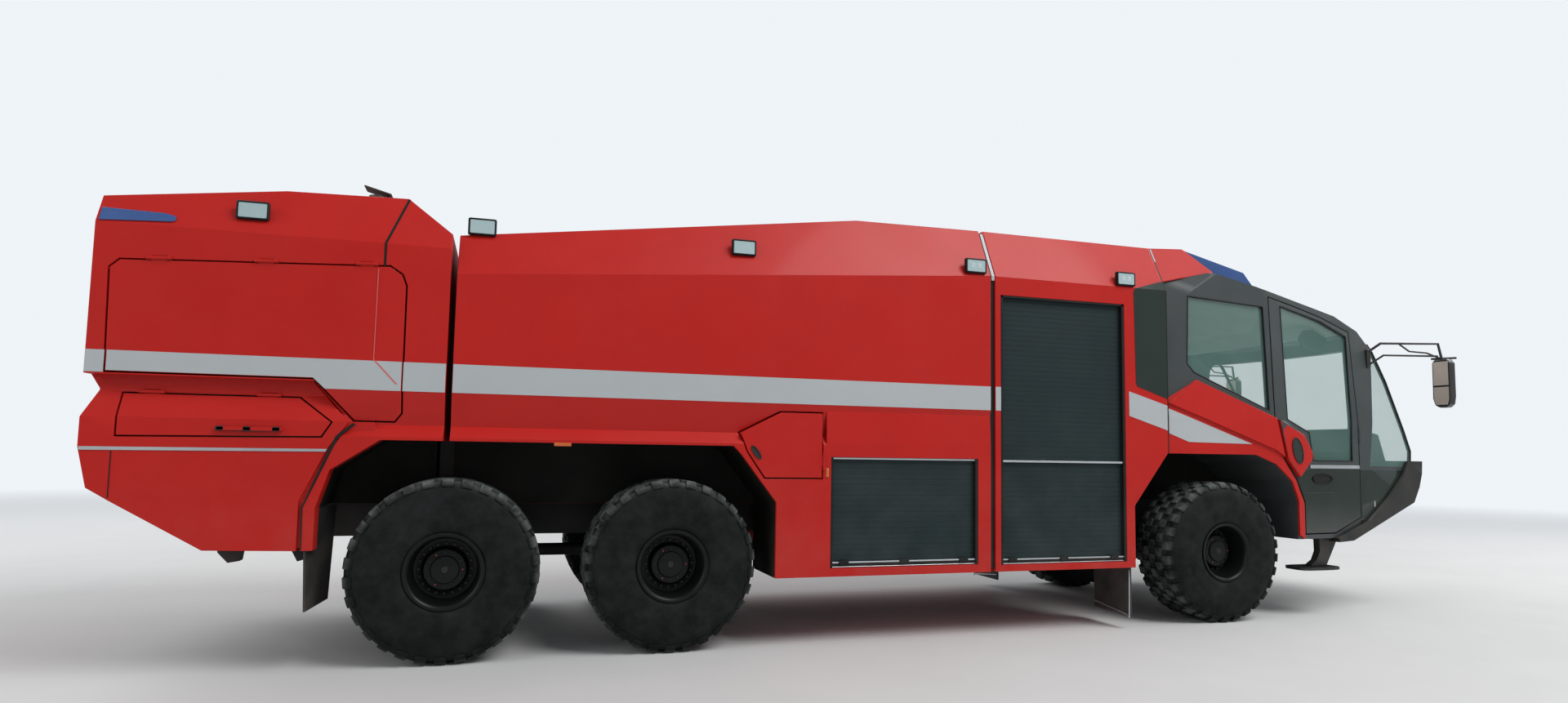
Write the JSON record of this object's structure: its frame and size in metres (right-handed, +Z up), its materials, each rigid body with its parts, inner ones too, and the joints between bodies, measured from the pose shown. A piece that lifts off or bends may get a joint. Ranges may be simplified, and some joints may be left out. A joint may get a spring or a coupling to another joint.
{
  "type": "airport fire truck",
  "caption": "All-wheel-drive airport crash tender with a rear engine bay, water tank, equipment lockers, roof turret and a wide glazed cab, red with a grey side stripe.",
  "frame": {"origin": "on the ground under the middle of the bounding box", "axes": "+X forward to the cab, +Y to the vehicle's left, +Z up"},
  "size_m": [12.76, 3.24, 3.9547],
  "materials": {
    "chassis_steel": "black chassis paint with road dust",
    "axle_iron": "painted castings, dusty",
    "tyre": "dusty black rubber",
    "rim_paint": "satin black",
    "driveline_iron": "dark painted casting",
    "engine_block": "plain grey block",
    "red_paint": "gloss vermilion red",
    "grille_black": "matt black",
    "exhaust_steel": "heat-tinted steel",
    "shutter_grey": "dark grey coated slats",
    "liner_black": "matt black",
    "flap_rubber": "black rubber",
    "cab_grey": "satin dark grey",
    "glass": "green tinted",
    "blue_lens": "blue lens",
    "lamp_lens": "clear lens in a black rim",
    "tail_lens": "red lens",
    "bumper_black": "black textured",
    "interior_dark": "dark grey",
    "wheel_rim_leather": "black",
    "seat_cloth": "dark woven",
    "mirror_black": "satin black",
    "step_black": "black",
    "turret_metal": "satin"
  },
  "bodies": {
    "vehicle": {"frame": "chassis_steel", "rear_axles": "axle_iron", "front_axle": "axle_iron", "driveline": "driveline_iron", "engine": "engine_block", "rear_body": "red_paint", "rear_grille": "grille_black", "exhaust": "exhaust_steel", "tank_body": "red_paint", "locker_body": "red_paint", "shutters": "shutter_grey", "arch_liners": "liner_black", "mudflaps": "flap_rubber", "cab_shell": "cab_grey", "side_panels": "red_paint", "cab_glass": "glass", "roof_fairing": "red_paint", "blue_lamps": "blue_lens", "scene_lamps": "lamp_lens", "tail_lamps": "tail_lens", "bumper": "bumper_black", "head_lamps": "lamp_lens", "dash": "interior_dark", "steering_wheel": "wheel_rim_leather", "seats": "seat_cloth", "mirrors": "mirror_black", "steps": "step_black", "turret_base": "red_paint"},
    "wheel_rr": {"tyre_rr": "tyre", "rim_rr": "rim_paint"},
    "wheel_rl": {"tyre_rl": "tyre", "rim_rl": "rim_paint"},
    "wheel_mr": {"tyre_mr": "tyre", "rim_mr": "rim_paint"},
    "wheel_ml": {"tyre_ml": "tyre", "rim_ml": "rim_paint"},
    "wheel_fr": {"tyre_fr": "tyre", "rim_fr": "rim_paint"},
    "wheel_fl": {"tyre_fl": "tyre", "rim_fl": "rim_paint"},
    "knuckle_r": {"knuckle_r": "axle_iron"},
    "door_r": {"cab_door_r": "cab_grey", "door_glass_r": "glass"},
    "upper_flap_r": {"upper_flap_r": "red_paint"},
    "lower_flap_r": {"lower_flap_r": "red_paint"},
    "pump_door_r": {"pump_door_r": "red_paint"},
    "knuckle_l": {"knuckle_l": "axle_iron"},
    "door_l": {"cab_door_l": "cab_grey", "door_glass_l": "glass"},
    "upper_flap_l": {"upper_flap_l": "red_paint"},
    "lower_flap_l": {"lower_flap_l": "red_paint"},
    "pump_door_l": {"pump_door_l": "red_paint"},
    "turret_head": {"turret_head": "red_paint"},
    "turret_barrel": {"turret_barrel": "turret_metal"}
  },
  "joints": [
    {"name": "spin_rr", "type": "hinge", "parent": "vehicle", "child": "wheel_rr", "pos_m": [-4.08, -1.2, 0.688], "axis": [0, 1, 0], "continuous": true},
    {"name": "spin_rl", "type": "hinge", "parent": "vehicle", "child": "wheel_rl", "pos_m": [-4.08, 1.2, 0.688], "axis": [0, 1, 0], "continuous": true},
    {"name": "spin_mr", "type": "hinge", "parent": "vehicle", "child": "wheel_mr", "pos_m": [-2.38, -1.2, 0.688], "axis": [0, 1, 0], "continuous": true},
    {"name": "spin_ml", "type": "hinge", "parent": "vehicle", "child": "wheel_ml", "pos_m": [-2.38, 1.2, 0.688], "axis": [0, 1, 0], "continuous": true},
    {"name": "spin_fr", "type": "hinge", "parent": "knuckle_r", "child": "wheel_fr", "pos_m": [3.1, -1.2, 0.688], "axis": [0, 1, 0], "continuous": true},
    {"name": "spin_fl", "type": "hinge", "parent": "knuckle_l", "child": "wheel_fl", "pos_m": [3.1, 1.2, 0.688], "axis": [0, 1, 0], "continuous": true},
    {"name": "steer_r", "type": "hinge", "parent": "vehicle", "child": "knuckle_r", "pos_m": [3.1, -0.9, 0.688], "axis": [0, 0, 1], "range_deg": [-28, 28]},
    {"name": "cab_door_r", "type": "hinge", "parent": "vehicle", "child": "door_r", "pos_m": [5.045, -1.3305, 1.5], "axis": [0, 0, 1], "range_deg": [0, 75]},
    {"name": "upper_flap_r", "type": "hinge", "parent": "vehicle", "child": "upper_flap_r", "pos_m": [-6.22, -1.503, 2.862], "axis": [-0.9989, 0, -0.0476], "range_deg": [0, 90]},
    {"name": "lower_flap_r", "type": "hinge", "parent": "vehicle", "child": "lower_flap_r", "pos_m": [-6.17, -1.415, 1.957], "axis": [-1, 0, 0], "range_deg": [0, 80]},
    {"name": "pump_door_r", "type": "hinge", "parent": "vehicle", "child": "pump_door_r", "pos_m": [-1.128, -1.503, 1.55], "axis": [0, 0, 1], "range_deg": [0, 100]},
    {"name": "steer_l", "type": "hinge", "parent": "vehicle", "child": "knuckle_l", "pos_m": [3.1, 0.9, 0.688], "axis": [0, 0, 1], "range_deg": [-28, 28]},
    {"name": "cab_door_l", "type": "hinge", "parent": "vehicle", "child": "door_l", "pos_m": [5.045, 1.3305, 1.5], "axis": [0, 0, -1], "range_deg": [0, 75]},
    {"name": "upper_flap_l", "type": "hinge", "parent": "vehicle", "child": "upper_flap_l", "pos_m": [-6.22, 1.503, 2.862], "axis": [0.9989, 0, 0.0476], "range_deg": [0, 90]},
    {"name": "lower_flap_l", "type": "hinge", "parent": "vehicle", "child": "lower_flap_l", "pos_m": [-6.17, 1.415, 1.957], "axis": [1, 0, 0], "range_deg": [0, 80]},
    {"name": "pump_door_l", "type": "hinge", "parent": "vehicle", "child": "pump_door_l", "pos_m": [-1.128, 1.503, 1.55], "axis": [0, 0, -1], "range_deg": [0, 100]},
    {"name": "turret_turn", "type": "hinge", "parent": "vehicle", "child": "turret_head", "pos_m": [3.58, 0, 3.74], "axis": [0, 0, 1], "range_deg": [-170, 170]},
    {"name": "turret_lift", "type": "hinge", "parent": "turret_head", "child": "turret_barrel", "pos_m": [3.58, 0, 3.9], "axis": [0, -1, 0], "range_deg": [0, 70]}
  ],
  "couplings": [
    {"joint": "steer_l", "follows": "steer_r", "ratio": 1}
  ]
}
